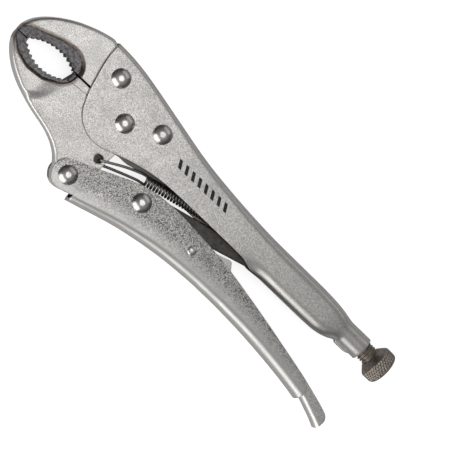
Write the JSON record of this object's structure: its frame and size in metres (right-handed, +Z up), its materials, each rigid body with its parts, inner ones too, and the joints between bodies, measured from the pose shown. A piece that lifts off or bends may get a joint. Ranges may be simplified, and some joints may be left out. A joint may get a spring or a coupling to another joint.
{
  "type": "locking pliers",
  "caption": "Curved-jaw locking pliers with a wire cutter, pressed channel handles, an adjusting screw with a knurled knob and a release lever.",
  "frame": {"origin": "on the jaw pivot's axis, at the crown of the jaw pivot rivet that the pliers rest on, lying flat on one side", "axes": "+X from the jaws to the adjusting knob, along the screw's axis; +Y from the lower handle to the upper handle; +Z up, along every pivot's axis"},
  "size_m": [0.2505, 0.0731, 0.0193],
  "materials": {
    "plated_sheet": "satin plating over sand-blasted sheet steel",
    "plated_forging": "satin plating over a sand-blasted forging, dark hardened band around the mouth",
    "rivet": "polished",
    "dark_link": "black oxide",
    "dark_screw": "dark brown oxide, knurled",
    "spring_wire": "dark oiled spring steel"
  },
  "bodies": {
    "upper_frame": {"upper_handle": "plated_sheet", "fixed_jaw": "plated_forging", "front_jaw_rivet": "rivet", "rear_jaw_rivet": "rivet", "jaw_pivot_rivet": "rivet", "tension_spring": "spring_wire"},
    "movable_jaw": {"movable_jaw": "plated_forging"},
    "lower_handle": {"lower_handle": "plated_sheet", "handle_pivot_rivet": "rivet", "link_rivet": "rivet", "release_lever_pin": "rivet"},
    "toggle_link": {"toggle_link": "dark_link"},
    "release_lever": {"release_lever": "plated_sheet"},
    "adjusting_screw": {"adjusting_screw": "dark_screw"}
  },
  "joints": [
    {"name": "jaw_pivot", "type": "hinge", "parent": "upper_frame", "child": "movable_jaw", "pos_m": [0, 0, 0.00965], "axis": [0, 0, 1], "range_deg": [0, 11], "deforming": ["tension_spring"]},
    {"name": "handle_pivot", "type": "hinge", "parent": "movable_jaw", "child": "lower_handle", "pos_m": [-0.003, -0.037, 0.00965], "axis": [0, 0, -1], "range_deg": [0, 46]},
    {"name": "link_pivot", "type": "hinge", "parent": "lower_handle", "child": "toggle_link", "pos_m": [0.0328, -0.022, 0.00965], "axis": [0, 0, 1], "range_deg": [0, 51.2]},
    {"name": "release_lever_pivot", "type": "hinge", "parent": "lower_handle", "child": "release_lever", "pos_m": [0.067, -0.022, 0.00965], "axis": [0, 0, 1], "range_deg": [0, 2.2]},
    {"name": "screw_spin", "type": "hinge", "parent": "upper_frame", "child": "adjusting_screw", "pos_m": [0.158, 0.00175, 0.00965], "axis": [1, 0, 0], "continuous": true}
  ],
  "couplings": [
    {"joint": "jaw_pivot", "follows": "handle_pivot", "ratio": 0.239},
    {"joint": "link_pivot", "follows": "handle_pivot", "ratio": 1.113}
  ]
}
